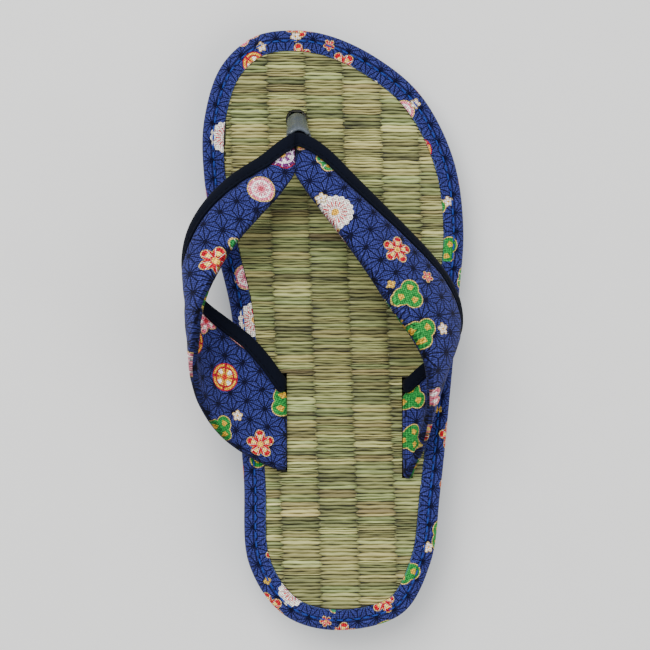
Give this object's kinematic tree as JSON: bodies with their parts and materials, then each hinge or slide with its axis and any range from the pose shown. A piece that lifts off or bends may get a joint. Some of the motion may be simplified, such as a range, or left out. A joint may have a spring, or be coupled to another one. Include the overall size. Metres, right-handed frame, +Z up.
{
  "type": "zori sandal",
  "caption": "Right-foot thong sandal with a rush mat footbed, cloth-bound edge, padded cloth straps on a toe post and a foam wedge sole.",
  "frame": {"origin": "on the floor under the heel, on the heel's flat ground spot, 36 mm ahead of the heel's back", "axes": "+X to the little toe's side, +Y to the toes, +Z up"},
  "size_m": [0.1141, 0.24, 0.0615],
  "materials": {
    "eva_foam": "matt blue EVA foam",
    "rush": "woven rush mat, olive straw",
    "printed_cloth": "printed plain-weave cotton, hemp-leaf lines and small motifs",
    "navy_tape": "navy bias tape",
    "clear_sleeve": "smoky clear soft PVC"
  },
  "bodies": {
    "root": {"outsole": "eva_foam", "insole_mat": "rush", "edge_binding": "printed_cloth", "strap_upper": "printed_cloth", "strap_tape": "navy_tape", "toe_thong": "navy_tape", "toe_sleeve": "clear_sleeve"}
  },
  "joints": []
}
